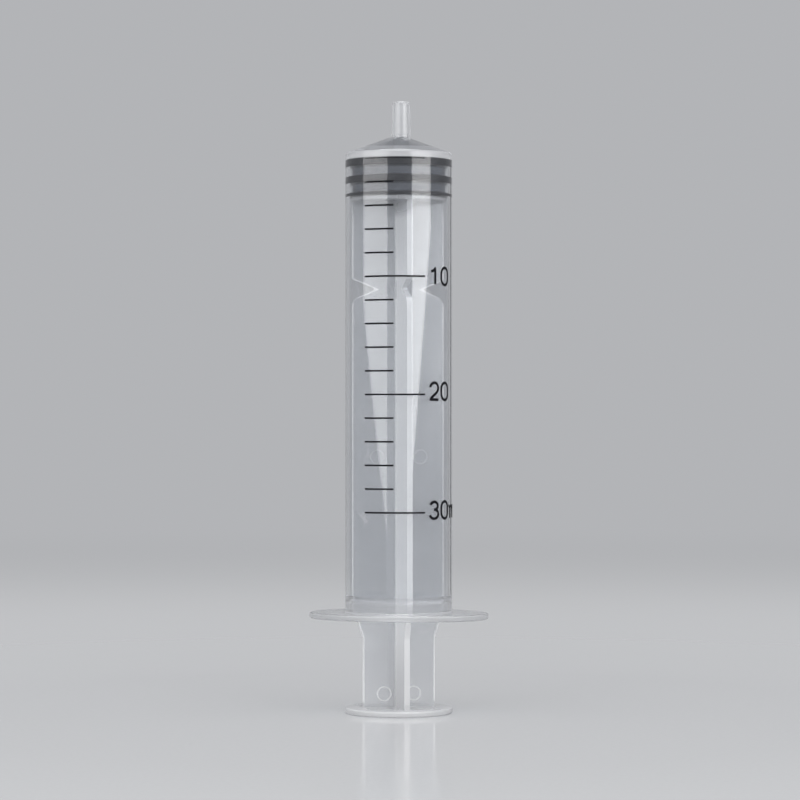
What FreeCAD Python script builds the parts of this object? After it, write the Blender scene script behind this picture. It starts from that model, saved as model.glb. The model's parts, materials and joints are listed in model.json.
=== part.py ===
"""A 30 ml disposable syringe with a plain slip nozzle, stood on its thumb rest, plunger pushed home.

It comes apart into three pieces: the moulded barrel with its nozzle and finger flange, the
cross-ribbed plunger rod, and the rubber stopper that clips over the button on the rod's head.

Millimetres. +Z runs up the barrel's axis to the nozzle, +X along the finger flange, and the
origin is the middle of the thumb rest's press face.
"""
import FreeCAD, Part
import math
import os

# Barrel tube
barrel_d = 24.0
barrel_wall = 0.96
bore_length = 102.8
mouth_chamfer = 0.45
shoulder_round = 0.6

# Cone that closes the barrel, and the wall's thickness square to it
end_cone_deg = 20.0
end_wall = 1.68

# Bead inside the mouth that keeps the stopper in
bead_from_mouth = 4.5
bead_width = 1.6
bead_height = 0.25
bead_round = 0.9

# Finger flange, an oval of four tangent arcs
flange_length = 40.6
flange_depth = 28.2
flange_end_r = 10.5
flange_thick = 1.4
flange_edge_round = 0.42
flange_root_round = 0.5

# Slip nozzle: a 6 % cone whose diameter is gauged a little below its tip
nozzle_gauge_d = 3.97
nozzle_gauge_depth = 0.75
nozzle_taper = 0.06
nozzle_length = 8.0
nozzle_offset = 0.6
nozzle_tip_round = 0.5
fluid_bore_d = 2.2

# How far the barrel's open end stands above the press face with the plunger home
grip_gap = 21.1

# Thumb rest and the gripping ridges in its press face
thumb_d = 24.2
thumb_thick = 1.25
thumb_edge_round = 0.4
grip_field_d = 20.6
grip_depth = 0.35
ridge_width = 0.7
ridge_pitch = 1.64

# Rod: two crossed ribs, narrow in the hand and wide in the bore
plunger_turn_deg = 25.3
rib_thick = 1.25
rib_gap_in_bore = 0.54
rib_foot_width = 16.4
rib_root_round = 0.45
flare_start = 17.1
flare_rise = 6.8
flare_round = 1.2

# Break-off notch in the edges of all four ribs
notch_below_head = 19.5
notch_neck = 10.2
notch_lower_deg = 23.5
notch_upper_deg = 22.0
notch_floor_round = 0.4
notch_lower_round = 2.4
notch_upper_round = 0.6

# Ejector pin marks on the ribs' faces: height above the press face, distance off the axis
ejector_d = 3.1
ejector_sink = 0.08
ejector_foot_height = 4.3
ejector_foot_spread = 3.4
ejector_rod_height = 57.3
ejector_rod_spread = 5.0

# Head of the rod: a guiding disc, and the button that carries the stopper
head_gap_in_bore = 0.34
head_thick = 1.05
head_edge_round = 0.3
button_neck_d = 7.6
button_neck_height = 1.7
button_d = 11.6
button_height = 3.1
button_top_d = 7.2
button_round = 0.4

# Stopper: three sealing lands with two grooves between them, front land first
land_front = 1.75
land_middle = 1.55
land_rear = 0.75
groove_width = 2.2
groove_depth = 0.6
groove_flank = 0.4
seal_round = 0.18
stopper_nose_d = 3.2
stopper_nose_round = 0.8

# Clearances: stopper to bore and end wall, and stopper to the rod's head and button
seal_gap = 0.05
seat_gap = 0.05

# How far parts of one moulding reach into each other before they are joined
weld = 0.3

# Two points closer than this are one point
smallest_edge = 1e-6

# Sizes that follow
barrel_r = barrel_d / 2
bore_r = barrel_r - barrel_wall
cone_rise = math.tan(math.radians(end_cone_deg))
mouth_z = grip_gap
flange_top_z = mouth_z + flange_thick
bore_corner_z = mouth_z + bore_length
shoulder_z = bore_corner_z + end_wall / math.cos(math.radians(end_cone_deg)) - barrel_wall * cone_rise

seal_r = bore_r - seal_gap
seal_corner_z = bore_corner_z + seal_gap * cone_rise - seal_gap / math.cos(math.radians(end_cone_deg))
stopper_z = seal_corner_z - land_front - land_middle - land_rear - 2 * groove_width

head_r = bore_r - head_gap_in_bore
head_top_z = stopper_z - seat_gap
head_z = head_top_z - head_thick
rib_r = bore_r - rib_gap_in_bore
notch_z = head_z - notch_below_head


def rounded_outline(corners, place):
    """A closed wire through corners (a, b) or (a, b, radius); each radius becomes a tangent arc.

    place turns a flat point into a point in space.
    """
    flat = [FreeCAD.Vector(corner[0], corner[1], 0) for corner in corners]
    turns = []
    for i, corner in enumerate(corners):
        here = flat[i]
        if len(corner) == 2:
            turns.append((here, None, here))
            continue
        radius = corner[2]
        back = (flat[i - 1] - here).normalize()
        ahead = (flat[(i + 1) % len(flat)] - here).normalize()
        half_angle = back.getAngle(ahead) / 2
        inward = (back + ahead).normalize()
        reach = radius / math.tan(half_angle)
        middle = here + inward * (radius / math.sin(half_angle) - radius)
        turns.append((here + back * reach, middle, here + ahead * reach))
    edges = []
    for i, (start, middle, end) in enumerate(turns):
        if middle is not None:
            edges.append(Part.Arc(place(start), place(middle), place(end)).toShape())
        next_start = turns[(i + 1) % len(turns)][0]
        if end.distanceToPoint(next_start) > smallest_edge:
            edges.append(Part.makeLine(place(end), place(next_start)))
    return Part.Wire(edges)


def upright(point):
    """A flat point set in the XZ plane, as (radius, height)."""
    return FreeCAD.Vector(point.x, 0, point.y)


def turned(corners, offset=0.0):
    """A solid of revolution about +Z from an outline of (radius, height) corners, moved along +X."""
    face = Part.Face(rounded_outline(corners, upright))
    solid = face.revolve(FreeCAD.Vector(0, 0, 0), FreeCAD.Vector(0, 0, 1), 360)
    solid.translate(FreeCAD.Vector(offset, 0, 0))
    return solid


def mirrored(corners):
    """The right half of an upright outline, bottom to top, followed by its mirror image back down."""
    return corners + [(-corner[0],) + tuple(corner[1:]) for corner in reversed(corners)]


def level_edges(solid, height):
    """The edges of a solid that lie flat at one height."""
    return [edge for edge in solid.Edges
            if abs(edge.BoundBox.ZMin - height) + abs(edge.BoundBox.ZMax - height) < smallest_edge]


def finger_flange():
    """The flange as a flat plate: long side arcs that run tangent into the two end arcs."""
    half_length = flange_length / 2
    half_depth = flange_depth / 2
    end_centre = half_length - flange_end_r
    side_r = (end_centre ** 2 + half_depth ** 2 - flange_end_r ** 2) / (2 * (half_depth - flange_end_r))
    share = flange_end_r / (side_r - flange_end_r)
    join_x = end_centre * (1 + share)
    join_y = (side_r - half_depth) * share

    def corner(x, y):
        return FreeCAD.Vector(x, y, mouth_z)

    arcs = [
        Part.Arc(corner(join_x, -join_y), corner(half_length, 0), corner(join_x, join_y)),
        Part.Arc(corner(join_x, join_y), corner(0, half_depth), corner(-join_x, join_y)),
        Part.Arc(corner(-join_x, join_y), corner(-half_length, 0), corner(-join_x, -join_y)),
        Part.Arc(corner(-join_x, -join_y), corner(0, -half_depth), corner(join_x, -join_y)),
    ]
    outline = Part.Wire([arc.toShape() for arc in arcs])
    plate = Part.Face(outline).extrude(FreeCAD.Vector(0, 0, flange_thick))
    rims = level_edges(plate, mouth_z) + level_edges(plate, flange_top_z)
    return plate.makeFillet(flange_edge_round, rims)


def tube_outside():
    """The tube and its closing cone as a filled solid, with the fillet where it leaves the flange."""
    foot_r = barrel_r + flange_root_round
    return turned([
        (0, mouth_z),
        (foot_r, mouth_z),
        (foot_r, flange_top_z),
        (barrel_r, flange_top_z, flange_root_round),
        (barrel_r, shoulder_z, shoulder_round),
        (0, shoulder_z + barrel_r * cone_rise),
    ])


def tube_inside():
    """The space inside the tube: chamfered mouth, retaining bead, straight bore and cone."""
    bead_z = mouth_z + bead_from_mouth
    return turned([
        (0, mouth_z),
        (bore_r + mouth_chamfer, mouth_z),
        (bore_r, mouth_z + mouth_chamfer),
        (bore_r, bead_z - bead_width / 2),
        (bore_r - bead_height, bead_z, bead_round),
        (bore_r, bead_z + bead_width / 2),
        (bore_r, bore_corner_z),
        (0, bore_corner_z + bore_r * cone_rise),
    ])


def nozzle():
    """The slip nozzle, standing on the cone a little to one side of the barrel's axis.

    Its foot starts at the shoulder, inside the end wall; what reaches the bore is cut away with it.
    """
    tip_z = nozzle_tip_z()
    tip_r = nozzle_gauge_d / 2 - nozzle_taper / 2 * nozzle_gauge_depth
    foot_r = tip_r + nozzle_taper / 2 * (tip_z - shoulder_z)
    return turned([
        (0, shoulder_z),
        (foot_r, shoulder_z),
        (tip_r, tip_z, nozzle_tip_round),
        (0, tip_z),
    ], nozzle_offset)


def nozzle_tip_z():
    """The nozzle's length is counted from the cone's surface at the nozzle's own radius."""
    return shoulder_z + (barrel_r - nozzle_gauge_d / 2) * cone_rise + nozzle_length


def fluid_bore():
    """The channel from the bore's cone to the nozzle's tip."""
    start = FreeCAD.Vector(nozzle_offset, 0, bore_corner_z)
    return Part.makeCylinder(fluid_bore_d / 2, nozzle_tip_z() - bore_corner_z, start)


def barrel():
    """Tube, cone, nozzle and flange: one moulding."""
    body = tube_outside().fuse([finger_flange(), nozzle()])
    return body.cut([tube_inside(), fluid_bore()]).removeSplitter()


def thumb_rest():
    """The disc under the thumb, with parallel ridges in a sunken field, flush with the plain rim."""
    thumb_r = thumb_d / 2
    field_r = grip_field_d / 2
    disc = turned([
        (0, 0),
        (thumb_r, 0, thumb_edge_round),
        (thumb_r, thumb_thick, thumb_edge_round),
        (0, thumb_thick),
    ])
    field = Part.makeCylinder(field_r, grip_depth)
    per_side = int((field_r - ridge_width) / ridge_pitch)
    ridges = []
    for step in range(-per_side, per_side + 1):
        corner = FreeCAD.Vector(-field_r, step * ridge_pitch - ridge_width / 2, 0)
        ridges.append(Part.makeBox(2 * field_r, ridge_width, grip_depth, corner))
    return disc.cut(field.cut(ridges))


def rib():
    """One flat rib right across the rod, seen edge on along Y, with a notch in both its edges."""
    foot_r = rib_foot_width / 2
    notch_r = notch_neck / 2
    depth = rib_r - notch_r
    lower_z = notch_z - depth * math.tan(math.radians(notch_lower_deg))
    upper_z = notch_z + depth * math.tan(math.radians(notch_upper_deg))
    outline = rounded_outline(mirrored([
        (foot_r, thumb_thick - weld),
        (foot_r, flare_start, flare_round),
        (rib_r, flare_start + flare_rise, flare_round),
        (rib_r, lower_z, notch_lower_round),
        (notch_r, notch_z, notch_floor_round),
        (rib_r, upper_z, notch_upper_round),
        (rib_r, head_z + weld),
    ]), upright)
    plate = Part.Face(outline).extrude(FreeCAD.Vector(0, rib_thick, 0))
    plate.translate(FreeCAD.Vector(0, -rib_thick / 2, 0))
    return plate


def rib_root_fillets():
    """The four concave fillets where the crossed ribs meet, as one star-shaped column."""
    near = rib_thick / 2
    far = near + rib_root_round
    corners = []
    for quarter in range(4):
        turn = math.radians(90 * quarter)
        for x, y, *radius in [(far, -near), (far, near), (near, near, rib_root_round)]:
            a = x * math.cos(turn) - y * math.sin(turn)
            b = x * math.sin(turn) + y * math.cos(turn)
            corners.append((a, b, *radius))
    base_z = thumb_thick - weld
    outline = rounded_outline(corners, lambda point: FreeCAD.Vector(point.x, point.y, base_z))
    return Part.Face(outline).extrude(FreeCAD.Vector(0, 0, head_z + weld - base_z))


def ejector_marks():
    """Shallow round sinks that ejector pins leave in one face of the wide rib."""
    marks = []
    for height, spread in [
        (ejector_foot_height, ejector_foot_spread),
        (ejector_rod_height, ejector_rod_spread),
    ]:
        for x in (-spread, spread):
            face_point = FreeCAD.Vector(x, -rib_thick / 2, height)
            marks.append(Part.makeCylinder(ejector_d / 2, ejector_sink, face_point, FreeCAD.Vector(0, 1, 0)))
    return marks


def head():
    """The guiding disc, and above it the neck and button that hold the stopper."""
    neck_r = button_neck_d / 2
    button_z = head_top_z + button_neck_height
    return turned([
        (0, head_z),
        (head_r, head_z, head_edge_round),
        (head_r, head_top_z, head_edge_round),
        (neck_r, head_top_z),
        (neck_r, button_z),
        (button_d / 2, button_z, button_round),
        (button_top_d / 2, button_z + button_height, button_round),
        (0, button_z + button_height),
    ])


def plunger():
    """Thumb rest, crossed ribs, guiding disc and button: one moulding, turned about its axis."""
    across = rib()
    across.rotate(FreeCAD.Vector(0, 0, 0), FreeCAD.Vector(0, 0, 1), 90)
    rod = thumb_rest().fuse([rib(), across, rib_root_fillets(), head()])
    rod = rod.cut(ejector_marks()).removeSplitter()
    rod.rotate(FreeCAD.Vector(0, 0, 0), FreeCAD.Vector(0, 0, 1), plunger_turn_deg)
    return rod


def stopper():
    """The rubber stopper: sealing lands, a cone like the barrel's end, and the button's cavity."""
    floor_r = seal_r - groove_depth
    low = [stopper_z + land_rear, stopper_z + land_rear + groove_width + land_middle]
    side = [(seal_r, stopper_z, seal_round)]
    for groove_z in low:
        side += [
            (seal_r, groove_z, seal_round),
            (floor_r, groove_z + groove_flank, seal_round),
            (floor_r, groove_z + groove_width - groove_flank, seal_round),
            (seal_r, groove_z + groove_width, seal_round),
        ]
    nose_r = stopper_nose_d / 2
    nose_z = seal_corner_z + (seal_r - nose_r) * cone_rise
    body = turned([(0, stopper_z)] + side + [
        (seal_r, seal_corner_z, seal_round),
        (nose_r, nose_z, stopper_nose_round),
        (0, nose_z),
    ])
    return body.cut(button_cavity())


def button_cavity():
    """The hollow for the rod's neck and button, larger than both by the seat's clearance."""
    neck_r = button_neck_d / 2 + seat_gap
    lip_z = head_top_z + button_neck_height - seat_gap
    top_z = head_top_z + button_neck_height + button_height + seat_gap
    return turned([
        (0, stopper_z),
        (neck_r, stopper_z),
        (neck_r, lip_z),
        (button_d / 2 + seat_gap, lip_z),
        (button_d / 2 + seat_gap, lip_z + 2 * seat_gap),
        (button_top_d / 2 + seat_gap, top_z),
        (0, top_z),
    ])


def main():
    os.makedirs("parts", exist_ok=True)
    for name, shape in [("barrel", barrel()), ("plunger", plunger()), ("stopper", stopper())]:
        shape.exportStep("parts/" + name + ".step")
        box = shape.BoundBox
        print(name, "solids", len(shape.Solids), "valid", shape.isValid(), "volume", round(shape.Volume, 1))
        print("  z", round(box.ZMin, 3), round(box.ZMax, 3), "x", round(box.XMin, 3), round(box.XMax, 3))


main()
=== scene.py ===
# %% [markdown]
# # A 30 ml disposable syringe, from plain solids to a finished picture
#
# A disposable syringe is three mouldings and some ink: a clear barrel, a milky plunger rod, a dark
# rubber stopper, and a scale printed on the tube. The solids already exist, and they are exact.
# This notebook adds what a solid can't hold: how each plastic passes, bends and scatters light,
# the printed scale, and a small studio to look at it in.
#
# Everything is in metres, in the solids' own frame: +Z runs up the barrel to the nozzle, +X along
# the finger flange, and the origin is the middle of the thumb rest's press face.

import bmesh
import bpy
import json
import math

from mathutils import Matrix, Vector


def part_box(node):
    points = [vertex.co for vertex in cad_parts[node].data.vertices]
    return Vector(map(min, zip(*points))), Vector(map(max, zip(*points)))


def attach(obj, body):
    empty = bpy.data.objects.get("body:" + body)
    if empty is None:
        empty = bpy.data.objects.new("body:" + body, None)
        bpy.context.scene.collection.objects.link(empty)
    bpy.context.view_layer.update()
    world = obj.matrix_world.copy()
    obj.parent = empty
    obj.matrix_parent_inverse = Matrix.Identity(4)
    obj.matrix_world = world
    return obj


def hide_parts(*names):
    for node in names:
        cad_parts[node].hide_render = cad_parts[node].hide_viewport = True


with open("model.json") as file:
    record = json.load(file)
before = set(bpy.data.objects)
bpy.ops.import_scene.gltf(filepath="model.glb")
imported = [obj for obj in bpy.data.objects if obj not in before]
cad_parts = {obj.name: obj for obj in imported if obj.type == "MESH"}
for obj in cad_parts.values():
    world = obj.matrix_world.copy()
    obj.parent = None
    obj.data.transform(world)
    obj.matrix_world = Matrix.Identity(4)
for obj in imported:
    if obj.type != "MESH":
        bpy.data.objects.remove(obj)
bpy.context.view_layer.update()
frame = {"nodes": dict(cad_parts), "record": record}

# %% [markdown]
# ## Sizes that the looks depend on
#
# A finish has to know where the moulding is thick, and the stopper has to know how wide the bore
# is. Both could be typed in, but then a change to the solids would leave the paint behind. So the
# tube's radius comes from the record's mount for the tube, the bore's from the barrel's own points
# where the closing cone starts, and heights come from the nodes' boxes. Only what no box or mount
# tells is typed in, such as the height of the stopper's cone.

# %% Read sizes from the frame
MM = 0.001
STOPPER_CONE = 3.38 * MM
SAME_HEIGHT = 0.1 * MM

mounts = {mount["name"]: mount for mount in frame["record"]["mounts"]}
tube_r = mounts["barrel_body"]["dims"]["r_mm"] * MM
flange_top = mounts["finger_flange"]["pos_m"][2]
mouth_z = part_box("barrel")[0].z
cone_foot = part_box("stopper")[1].z - STOPPER_CONE
bore_r = max(math.hypot(point.co.x, point.co.y) for point in frame["nodes"]["barrel"].data.vertices
             if abs(point.co.z - cone_foot) < SAME_HEIGHT)
print("tube radius", round(tube_r / MM, 2), "mm, bore radius", round(bore_r / MM, 2), "mm")
print("flange from", round(mouth_z / MM, 2), "to", round(flange_top / MM, 2), "mm, bore ends at",
      round(cone_foot / MM, 2), "mm")

# %% [markdown]
# ## Helpers for node trees
#
# Materials and shader groups are both trees of nodes, and every node is made in the same three
# moves: add it, set some inputs, link the rest. Written out, one finish would be pages long. One
# helper does all three, so a material reads from top to bottom as a recipe. An input that gets a
# socket is linked, and any other is a value. The second helper names the node used most, a sum on
# one or two numbers.

# %% Helpers that make nodes
def node(tree, kind, settings=None, **inputs):
    """A new node; settings are its properties, inputs its sockets by name or as in0, in1, ..."""
    made = tree.nodes.new(kind)
    for name, value in (settings or {}).items():
        setattr(made, name, value)
    for name, value in inputs.items():
        socket = made.inputs[int(name[2:]) if name[2:].isdigit() else name.replace("_", " ")]
        if isinstance(value, bpy.types.NodeSocket):
            tree.links.new(value, socket)
        else:
            socket.default_value = value
    return made


def math_node(tree, operation, first, second=0.0, clamp=False):
    """One sum on one or two numbers; returns the socket with the result."""
    return node(tree, "ShaderNodeMath", {"operation": operation, "use_clamp": clamp},
                in0=first, in1=second).outputs[0]


print("node helpers:", [helper.__name__ for helper in (node, math_node)])

# %% [markdown]
# ## Masks
#
# A mask is a number from 0 to 1 over the surface that says how much of something is there. Real
# mouldings have no painted borders: clear plastic turns milky over a fraction of a millimetre. A
# mask could be an image, but it would have to be unwrapped onto the mesh and would blur close up.
# Here masks are worked out from places and directions, so they are sharp at any size. These helpers
# name the sums that the finishes need again and again.

# %% Helpers that make and mix masks
def smooth_step(tree, value, start, end):
    """0 before start and 1 after end, with a soft change between."""
    return node(tree, "ShaderNodeMapRange", {"interpolation_type": "SMOOTHSTEP"},
                Value=value, From_Min=start, From_Max=end).outputs["Result"]


def window(tree, value, low, high, soft):
    """1 from low to high and 0 outside, with a soft change at both ends."""
    return math_node(tree, "SUBTRACT", smooth_step(tree, value, low - soft, low),
                     smooth_step(tree, value, high, high + soft))


def most_of(tree, first, *others):
    """The largest of several masks."""
    for other in others:
        first = math_node(tree, "MAXIMUM", first, other)
    return first


def times(tree, first, *others):
    """Several masks or shares multiplied: all of them have to be there."""
    for other in others:
        first = math_node(tree, "MULTIPLY", first, other)
    return first


def opposite(tree, mask):
    """1 where the mask is 0, and 0 where it is 1."""
    return math_node(tree, "SUBTRACT", 1.0, mask)


def between(tree, mask, low, high):
    """A number that goes from low, where the mask is 0, to high, where it is 1."""
    return math_node(tree, "ADD", times(tree, mask, high - low), low)


def colour_between(tree, mask, first, second):
    """A colour that goes from the first, where the mask is 0, to the second, where it is 1."""
    mix = node(tree, "ShaderNodeMix", {"data_type": "RGBA"}, in0=mask, in6=first, in7=second)
    return mix.outputs[2]


print("mask helpers:", [helper.__name__ for helper in (
    smooth_step, window, most_of, times, opposite, between, colour_between)])

# %% [markdown]
# ## Shared effect 1: the skin of a moulding
#
# Polypropylene is injected hot and freezes against steel. Its skin is glossy but never optically
# flat: it swells and sinks by microns in long streaks that follow the flow, up the barrel, and it
# carries a fine grain from the tool. A bump map from a picture would need an image. Noise that is
# stretched along the flow gives the same streaks at any size, so that is what the group holds. It
# puts out heights and a cloud, and each material decides how much of them it wants.

# %% Group "moulded skin"
ALONG_THE_FLOW = (1, 1, 0.1)
CLOUD_SCALE_SHARE = 0.3


def new_group(name, inputs, outputs):
    """An empty shader group with named sockets; returns the tree and its input and output nodes."""
    tree = bpy.data.node_groups.new(name, "ShaderNodeTree")
    for socket_name, kind, value in inputs:
        socket = tree.interface.new_socket(socket_name, in_out="INPUT", socket_type=kind)
        if value is not None:
            socket.default_value = value
    for socket_name, kind in outputs:
        tree.interface.new_socket(socket_name, in_out="OUTPUT", socket_type=kind)
    return tree, tree.nodes.new("NodeGroupInput"), tree.nodes.new("NodeGroupOutput")


skin, skin_in, skin_out = new_group(
    "moulded skin",
    [("Position", "NodeSocketVector", None),
     ("Streak Scale", "NodeSocketFloat", 260.0),
     ("Grain Scale", "NodeSocketFloat", 4000.0)],
    [("Streaks", "NodeSocketFloat"), ("Grain", "NodeSocketFloat"), ("Cloud", "NodeSocketFloat")])
stretched = node(skin, "ShaderNodeMapping", Vector=skin_in.outputs["Position"],
                 Scale=ALONG_THE_FLOW)
streaks = node(skin, "ShaderNodeTexNoise", Vector=stretched.outputs[0],
               Scale=skin_in.outputs["Streak Scale"], Detail=2.0, Roughness=0.45)
grain = node(skin, "ShaderNodeTexNoise", Vector=skin_in.outputs["Position"],
             Scale=skin_in.outputs["Grain Scale"], Detail=1.0)
cloud_scale = times(skin, skin_in.outputs["Streak Scale"], CLOUD_SCALE_SHARE)
cloud = node(skin, "ShaderNodeTexNoise", Vector=skin_in.outputs["Position"], Scale=cloud_scale,
             Detail=3.0, Roughness=0.6)
skin.links.new(streaks.outputs[0], skin_out.inputs["Streaks"])
skin.links.new(grain.outputs[0], skin_out.inputs["Grain"])
skin.links.new(cloud.outputs[0], skin_out.inputs["Cloud"])
print("group", skin.name, "has", len(skin.nodes), "nodes")

# %% [markdown]
# ## Shared effect 2: hairline scuffs
#
# A syringe comes out of a box of hundreds, so its skin has a few hairlines and a faint rub where
# it touched its neighbours. Painted scratches would repeat. The thin level line of a noise, where
# its value crosses one half, is already a hairline, and a second, larger noise keeps the lines in
# patches. The group puts out one mask, which lifts roughness and whitens the plastic a little.

# %% Group "scuffs"
SCUFF_SLANT = (0.5, 0.35, 0.0)
SCUFF_STRETCH = (1, 1, 0.22)
HALF_WAY = 0.5
PATCH_SCALE_SHARE = 0.4
PATCH_STARTS = 0.56
PATCH_FULL = 0.66

scuffs, scuffs_in, scuffs_out = new_group(
    "scuffs",
    [("Position", "NodeSocketVector", None),
     ("Scale", "NodeSocketFloat", 300.0),
     ("Line Width", "NodeSocketFloat", 0.012)],
    [("Mask", "NodeSocketFloat")])
slanted = node(scuffs, "ShaderNodeMapping", Vector=scuffs_in.outputs["Position"],
               Rotation=SCUFF_SLANT, Scale=SCUFF_STRETCH)
hills = node(scuffs, "ShaderNodeTexNoise", Vector=slanted.outputs[0],
             Scale=scuffs_in.outputs["Scale"], Detail=1.5, Distortion=0.4)
off_the_line = math_node(scuffs, "ABSOLUTE",
                         math_node(scuffs, "SUBTRACT", hills.outputs[0], HALF_WAY))
hairline = opposite(scuffs, smooth_step(scuffs, off_the_line, 0.0, scuffs_in.outputs["Line Width"]))
patch_scale = times(scuffs, scuffs_in.outputs["Scale"], PATCH_SCALE_SHARE)
patches = node(scuffs, "ShaderNodeTexNoise", Vector=scuffs_in.outputs["Position"],
               Scale=patch_scale)
in_patch = smooth_step(scuffs, patches.outputs[0], PATCH_STARTS, PATCH_FULL)
scuffs.links.new(times(scuffs, hairline, in_patch), scuffs_out.inputs["Mask"])
print("group", scuffs.name, "has", len(scuffs.nodes), "nodes")

# %% [markdown]
# ## The finishes, one at a time
#
# What is the same all over a moulding, such as how much light passes and how strongly it bends,
# is set on the shader itself. What changes over the surface comes from the groups. Every finish
# starts alike, so a helper starts a material off with its output and its coordinates, and another
# places a group in it. Copying one material and changing it would also do, but then a slip in the
# first would be in all of them.

# %% Start a material
def new_finish(name):
    """A material with only an output; returns it with its tree, output and coordinates."""
    material = bpy.data.materials.new(name)
    material.use_nodes = True
    tree = material.node_tree
    tree.nodes.clear()
    output = node(tree, "ShaderNodeOutputMaterial")
    return material, tree, output, node(tree, "ShaderNodeTexCoord").outputs


def use_group(tree, group, **inputs):
    """A shader group placed in a material."""
    return node(tree, "ShaderNodeGroup", {"node_tree": group}, **inputs).outputs


print("groups to build finishes from:", sorted(group.name for group in bpy.data.node_groups))

# %% [markdown]
# ### What all clear plastic here needs
#
# Two things make plastic look like plastic and not like glass. The first is scattering. Crystals
# in polypropylene throw a little light about inside it, so a thin wall stays clear, while a rim or
# a thick ring, where the same light has a long way to go, turns white. A weak Volume Scatter does
# just that, and it whitens every thick place by itself.
#
# The second is light that gets in. A path tracer can't aim through a surface that bends light, so
# everything behind clear plastic would be dark and grainy. For the rays that look for a lamp, and
# only for them, the surface is swapped for a plain see-through one.

# %% Light inside the plastic
POLYPROPYLENE_IOR = 1.49
SCATTERED_COLOUR = (0.97, 0.98, 1.0, 1)
LAMP_LIGHT_KEPT = (0.88, 0.89, 0.90, 1)
TIMES_SCATTERED = 4


def clear_plastic(tree, output, clear, milky, milk_mask, scatter_per_metre):
    """Ends a clear finish: its two surfaces, the way in for lamp light, and the haze inside."""
    surface = node(tree, "ShaderNodeMixShader", in0=milk_mask, in1=clear.outputs[0],
                   in2=milky.outputs[0])
    path = node(tree, "ShaderNodeLightPath")
    way_in = node(tree, "ShaderNodeBsdfTransparent", Color=LAMP_LIGHT_KEPT)
    swapped = node(tree, "ShaderNodeMixShader", in0=path.outputs["Is Shadow Ray"],
                   in1=surface.outputs[0], in2=way_in.outputs[0])
    tree.links.new(swapped.outputs[0], output.inputs["Surface"])
    haze = node(tree, "ShaderNodeVolumeScatter", Color=SCATTERED_COLOUR, Density=scatter_per_metre)
    tree.links.new(haze.outputs[0], output.inputs["Volume"])


bpy.context.scene.cycles.volume_bounces = TIMES_SCATTERED
print("inside plastic, light may be scattered", TIMES_SCATTERED, "times")

# %% [markdown]
# ### The barrel: clear polypropylene
#
# A barrel has to show the dose, so it is the clearest grade of polypropylene, and its tube is only
# a millimetre thick. One glass-like shader all over would do for the tube, but not for the rest.
# Where the moulding is solid, at the ring that closes the tube and at the finger flange, the
# plastic cools slowly, its crystals grow, and it turns milky. So the barrel has two surfaces, a
# clear one and a milky one, and a mask says where one gives way to the other.
#
# The clear one comes first. The wall that closes the tube is thicker than the tube and has less
# light behind it, so a painted shade turns its colour a shade greyer there.

# %% Finish "barrel plastic": its two surfaces
CLEAR_WALL = [(0.78, 0.79, 0.81, 1), (0.83, 0.84, 0.85, 1)]
BARREL_MILK = [(0.54, 0.545, 0.56, 1), (0.62, 0.625, 0.635, 1)]
END_WALL_PAINTED_SHADE = (0.44, 0.45, 0.47, 1)
END_WALL_FROM = cone_foot + 1.5 * MM
END_WALL_TO = cone_foot + 4.5 * MM
END_WALL_SOFT = 0.3 * MM
SCUFFS_DULL = 0.1


def height_of(tree, vector):
    """The Z of a place or a direction."""
    return node(tree, "ShaderNodeSeparateXYZ", Vector=vector).outputs["Z"]


barrel_plastic, tree, output, coords = new_finish("barrel plastic")
position = coords["Object"]
height = height_of(tree, position)
flow = use_group(tree, skin, Position=position, Streak_Scale=240.0, Grain_Scale=5000.0)
marks = use_group(tree, scuffs, Position=position, Scale=260.0, Line_Width=0.006)
swell = node(tree, "ShaderNodeBump", Strength=0.03, Distance=0.2 * MM, Height=flow["Streaks"])

# Painted shade: between these heights the end wall's colour is greyed for the light it lacks.
end_wall_painted_shade = window(tree, height, END_WALL_FROM, END_WALL_TO, END_WALL_SOFT)
wall = colour_between(tree, flow["Cloud"], *CLEAR_WALL)
wall = colour_between(tree, end_wall_painted_shade, wall, END_WALL_PAINTED_SHADE)
wall_rough = math_node(tree, "ADD", between(tree, flow["Cloud"], 0.025, 0.065),
                       times(tree, marks["Mask"], SCUFFS_DULL))
clear_wall = node(tree, "ShaderNodeBsdfPrincipled", Base_Color=wall, Roughness=wall_rough,
                  IOR=POLYPROPYLENE_IOR, Transmission_Weight=0.99, Normal=swell.outputs[0])

milk = colour_between(tree, flow["Cloud"], *BARREL_MILK)
milk_rough = between(tree, flow["Cloud"], 0.16, 0.28)
milky_wall = node(tree, "ShaderNodeBsdfPrincipled", Base_Color=milk, Roughness=milk_rough,
                  IOR=POLYPROPYLENE_IOR, Transmission_Weight=0.45, Normal=swell.outputs[0])
print("the end wall is greyer from", round(END_WALL_FROM / MM, 1), "to",
      round(END_WALL_TO / MM, 1), "mm")

# %% [markdown]
# ### Where the barrel turns milky
#
# Five places on the real barrel are whiter than its tube: the ring that closes the tube, the
# nozzle, the finger flange, the tube's foot just above the flange, and the bead inside the mouth
# that stops the stopper. They could be separate pieces, but it is one moulding. Each lies between
# two heights, so each is a window on the height, written as its lowest point, its highest point and
# how softly it ends. The nozzle has no upper end, so it is a single soft step.

# %% Finish "barrel plastic": heights of the milky places
END_RING = (cone_foot - 0.15 * MM, cone_foot + 1.3 * MM, 0.12 * MM)
FLANGE = (mouth_z - 1 * MM, flange_top + 0.1 * MM, 0.2 * MM)
TUBE_FOOT = (mouth_z - 1 * MM, flange_top + 2.5 * MM, 0.4 * MM)
BEAD = (mouth_z + 4.0 * MM, mouth_z + 5.0 * MM, 0.3 * MM)
NOZZLE_FULL = cone_foot + 6 * MM

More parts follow.
